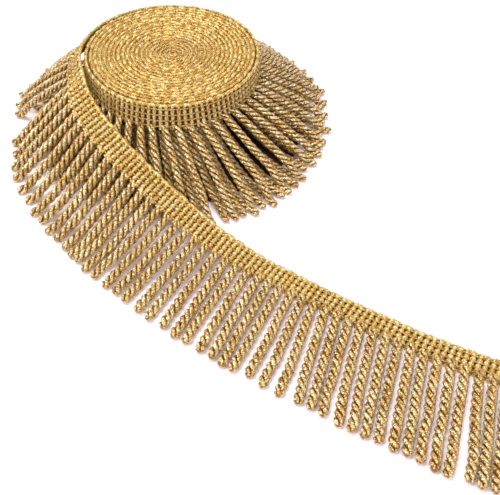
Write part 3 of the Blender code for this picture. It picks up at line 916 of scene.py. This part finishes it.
class FRINGE_OT_ground(bpy.types.Operator):
    """Weave the heading's thin ground, wound up and down the loose end in one length"""
    bl_idname = "fringe.ground"
    bl_label = "Heading ground"

    def execute(self, context):
        sizes = context.scene.fringe_sizes
        tail = TailPath()
        frames = [wound_frame(place) for place in reversed(wound_places(GROUND_STEP))]
        count = int(TAIL_LENGTH / GROUND_STEP)
        frames += [tail.frame(max(TAIL_START, TAIL_LENGTH * i / count)) for i in range(1, count + 1)]
        half = sizes.ground_thickness / 2
        verts = []
        for edge, _, across, face in frames:
            upper = edge + across * GROUND_TOP
            lower = edge + across * (sizes.heading_width - GROUND_INSET)
            verts += [upper + face * half, lower + face * half, lower - face * half, upper - face * half]
        faces = [(3, 2, 1, 0)]
        for i in range(len(frames) - 1):
            a = 4 * i
            for corner in range(4):
                following = (corner + 1) % 4
                faces.append((a + corner, a + following, a + 4 + following, a + 4 + corner))
        last = 4 * (len(frames) - 1)
        faces.append((last, last + 1, last + 2, last + 3))
        mesh = bpy.data.meshes.new("heading_ground")
        mesh.from_pydata(verts, [], faces)
        mesh.materials.append(woven_ground_and_shade("cotton_ground", context.scene.fringe_colours.ground))
        keep(shown("heading_ground", mesh), "heading_yarn", "tail_heading")
        return {"FINISHED"}


class FRINGE_OT_loops(bpy.types.Operator):
    """Set the gimp loops of the heading: whole ones where their ribs show, and tops alone inside the roll"""
    bl_idname = "fringe.loops"
    bl_label = "Gimp loops"

    def execute(self, context):
        sizes = context.scene.fringe_sizes
        _, loops = fringe_trees()
        tail = TailPath()
        spacing = sizes.loop_pitch / 2
        crown = spacing / 2 + sizes.rib_radius
        values = {
            "Rib Spacing": spacing, "Yarn Radius": sizes.rib_radius, "Bead Length": sizes.bead_length,
            "Leg Length": sizes.heading_width + RIB_FOOT - crown, "Ring Spacing": 0.4 * MM, "Sides": 8,
            "Jitter": 0.03, "Bead Depth": 0.26, "Roughness Depth": 0.25 * MM, "Material": heading_gimp(),
        }
        chance = random.Random(LOOP_SEED)

        def scattered(count, most):
            """Chance drops, either way."""
            return [chance.uniform(-most, most) for _ in range(count)]

        def set_loops(frames, drops, name, node):
            """Hang loops by their tops from the upper edge, each lowered by its drop."""
            sunk = [
                (edge + across * (crown + drop), along, across, face)
                for (edge, along, across, face), drop in zip(frames, drops)
            ]
            seeded = {**values, "Seed": LOOP_SEEDS[name]}
            keep(grown(loop_source(sunk), loops, seeded, name), "heading_yarn", node)

        count = int(round(TAIL_LENGTH / sizes.loop_pitch))
        frames = [tail.frame(TAIL_SHIFT + i * sizes.loop_pitch) for i in range(count)]
        set_loops(frames, scattered(count, TAIL_DROPS), "tail_loops", "tail_heading")

        values.update({
            "Yarn Radius": OUTER_GIRTH * sizes.rib_radius, "Bead Depth": 0.17, "Roughness Depth": 0.14 * MM,
        })
        frames = [wound_frame(math.tau * (i + 0.5) / LOOPS_PER_TURN) for i in range(RIBBED_LOOPS)]
        set_loops(frames, scattered(RIBBED_LOOPS, FACE_DROPS), "outer_turn_loops", "roll")

        inner = wound_places(sizes.loop_pitch, math.tau * (RIBBED_LOOPS + 0.5) / LOOPS_PER_TURN)
        uneven = scattered(WOUND_DROP_COUNT, WOUND_DROPS)
        drops = []
        for place in inner:
            drop = float(np.interp(place * WOUND_DROPS_PER_TURN / math.tau, range(WOUND_DROP_COUNT), uneven))
            drop += chance.uniform(-TAIL_DROPS, TAIL_DROPS)
            nearness = 1.0 - wound_radius(place) / ROLL_RADIUS
            drops.append(drop + MIDDLE_SINK * nearness ** 4)
        values.update({
            "Leg Length": WOUND_LEG, "Ring Spacing": 0.55 * MM, "Sides": 7, "Jitter": 0.08,
            "Bead Depth": 0.22, "Yarn Radius": WOUND_GIRTH * sizes.rib_radius,
        })
        set_loops([wound_frame(place) for place in inner], drops, "wound_loops", "roll")
        return {"FINISHED"}


class FRINGE_OT_bindings(bpy.types.Operator):
    """Run the binding threads along the heading, over and under its ribs"""
    bl_idname = "fringe.bindings"
    bl_label = "Binding threads"

    def execute(self, context):
        sizes = context.scene.fringe_sizes
        yarn, _ = fringe_trees()
        tail = TailPath()
        rib = sizes.loop_pitch / 2
        step = rib / STEPS_PER_RIB
        crown = rib / 2 + sizes.rib_radius
        first_row = crown + sizes.bead_length - rib / 2 * math.pi / 2
        rows = [first_row + sizes.bead_length * i for i in range(BINDING_ROWS)]

        def weave(frames):
            """Lines of every row on both faces, out over each rib and in between ribs."""
            lines = []
            for depth in rows:
                for side in (-1.0, 1.0):
                    line = []
                    for index, (edge, _, across, face) in enumerate(frames):
                        over = math.cos(math.tau * (index / STEPS_PER_RIB + 0.5))
                        lift = side * (BINDING_LIFT + BINDING_SWING * over)
                        line.append(edge + across * depth + face * lift)
                    lines.append(line)
            return lines

        loop_steps = 2 * STEPS_PER_RIB
        turn_steps = LOOPS_PER_TURN * loop_steps
        around = [wound_frame(math.tau * i / turn_steps) for i in range(RIBBED_LOOPS * loop_steps + 1)]
        count = int(round(TAIL_LENGTH / step))
        laid = [tail.frame(max(TAIL_START, i * step)) for i in range(count + 1)]
        values = {
            "Ply Radius": 0.85 * sizes.binding_radius, "Ply Offset": sizes.binding_radius, "Ply Height": 1.0,
            "Ply Pitch": 3.6 * MM, "Ring Spacing": step, "Sides": 4, "Waviness": 0.0,
            "Root Length": 0.2 * MM, "Root Girth": 0.9, "Tip Length": 0.2 * MM, "Tip Girth": 0.9,
            "Roughness Depth": 0.1 * MM, "Seed": BINDING_SEED, "Material": heading_gimp(),
        }
        for frames, name in ((around, "outer_turn_bindings"), (laid, "tail_bindings")):
            keep(grown(line_source(weave(frames)), yarn, values, name), "heading_yarn")

        wound = [wound_frame(place) for place in reversed(wound_places(SELVEDGE_STEP))]
        cord = [edge + across * SELVEDGE_DEPTH for edge, _, across, _ in wound + laid[2::2]]
        between = TURN_PITCH / 2
        grooves = wound[:-FILLER_STOP]
        filler = [edge + across * FILLER_DEPTH - face * between for edge, _, across, face in grooves]
        values.update({
            "Ply Radius": 0.44 * MM, "Ply Offset": 0.34 * MM, "Ply Pitch": 5.0 * MM,
            "Ring Spacing": 1.0 * MM,
        })
        keep(grown(line_source([cord, filler]), yarn, values, "heading_selvedge"), "heading_yarn")
        return {"FINISHED"}


class FRINGE_OT_skirt(bpy.types.Operator):
    """Twist the strands round the roll: two rows that show and a shorter one behind them"""
    bl_idname = "fringe.skirt"
    bl_label = "Skirt fringe"

    def execute(self, context):
        yarn, _ = fringe_trees()
        for number, (name, *shape, sides, spacing) in enumerate(SKIRT_LAYERS, 1):
            values = strand_values(float(number), SKIRT_GIRTH, SKIRT_TWIST, sides, spacing)
            piece = grown(line_source(skirt_lines(*shape)), yarn, values, f"skirt_strands_{name}")
            solids = [] if name == "deep" else [f"skirt_fringe_{name}"]
            keep(piece, "strand_yarn", *solids)
        return {"FINISHED"}


class FRINGE_OT_tail(bpy.types.Operator):
    """Twist the strands of the loose end"""
    bl_idname = "fringe.tail"
    bl_label = "Tail fringe"

    def execute(self, context):
        sizes = context.scene.fringe_sizes
        yarn, _ = fringe_trees()
        tail = TailPath()
        middle = int(round(SLOPING_LENGTH / sizes.loop_pitch))
        last = int(round(TAIL_LENGTH / sizes.loop_pitch))
        for name, first, end in (("sloping", 0, middle), ("flat", middle, last)):
            lines = tail_lines(tail, first, end, TAIL_SEEDS[name])
            values = strand_values(float(TAIL_SEEDS[name]), TAIL_GIRTH)
            piece = grown(line_source(lines), yarn, values, f"tail_strands_{name}")
            keep(piece, "strand_yarn", f"tail_fringe_{name}")
        return {"FINISHED"}


class FRINGE_OT_core(bpy.types.Operator):
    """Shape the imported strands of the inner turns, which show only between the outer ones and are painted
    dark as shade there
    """
    bl_idname = "fringe.core"
    bl_label = "Packed strands"

    def execute(self, context):
        around = 4 * CORE_FLUTES
        verts = []
        for radius, height in CORE_SECTIONS:
            depth = FLUTE_DEPTH if height < SMOOTH_ABOVE else 0.0
            for i in range(around):
                angle = math.tau * i / around
                reach = radius * MM - depth * math.cos(CORE_FLUTES * angle + FLUTE_TWIST * height)
                verts.append((reach * math.cos(angle), reach * math.sin(angle), height * MM))
        faces = []
        for ring in range(len(CORE_SECTIONS) - 1):
            for i in range(around):
                j = (i + 1) % around
                a = ring * around
                faces.append((a + j, a + i, a + around + i, a + around + j))
        faces.append(tuple(range(around)))
        faces.append(tuple(reversed(range(len(verts) - around, len(verts)))))
        mesh = bpy.data.meshes.new("packed_strands")
        mesh.from_pydata(verts, [], faces)
        mesh.shade_smooth()
        mesh.materials.append(woven_ground_and_shade("packed_yarn", context.scene.fringe_colours.core))
        keep(shown("packed_strands", mesh), "strand_yarn", "roll")
        return {"FINISHED"}


class FRINGE_PT_panel(bpy.types.Panel):
    """Lists the makers of the trim with its sizes and colours"""
    bl_idname = "FRINGE_PT_panel"
    bl_label = "Bullion Fringe Trim"
    bl_space_type = "VIEW_3D"
    bl_region_type = "UI"
    bl_category = "Fringe"

    def draw(self, context):
        layout = self.layout
        for operator in OPERATORS:
            layout.operator(operator.bl_idname)
        for group in (context.scene.fringe_sizes, context.scene.fringe_colours):
            box = layout.box()
            for name in group.bl_rna.properties.keys():
                if name not in ("rna_type", "name"):
                    box.prop(group, name)


OPERATORS = (
    FRINGE_OT_stage, FRINGE_OT_ground, FRINGE_OT_loops, FRINGE_OT_bindings, FRINGE_OT_skirt, FRINGE_OT_tail,
    FRINGE_OT_core,
)
CLASSES = (FringeSizes, FringeColours, *OPERATORS, FRINGE_PT_panel)


def register():
    """Make the classes known and hang the settings on the scene."""
    for kind in CLASSES:
        bpy.utils.register_class(kind)
    bpy.types.Scene.fringe_sizes = bpy.props.PointerProperty(type=FringeSizes)
    bpy.types.Scene.fringe_colours = bpy.props.PointerProperty(type=FringeColours)


def unregister():
    """Take the settings and the classes away again."""
    del bpy.types.Scene.fringe_colours
    del bpy.types.Scene.fringe_sizes
    for kind in reversed(CLASSES):
        bpy.utils.unregister_class(kind)


def main():
    register()
    for operator in OPERATORS:
        group, name = operator.bl_idname.split(".")
        getattr(getattr(bpy.ops, group), name)()
    wound = sum(GROUND_STEP for _ in wound_places(GROUND_STEP))


if __name__ == "__main__":
    main()
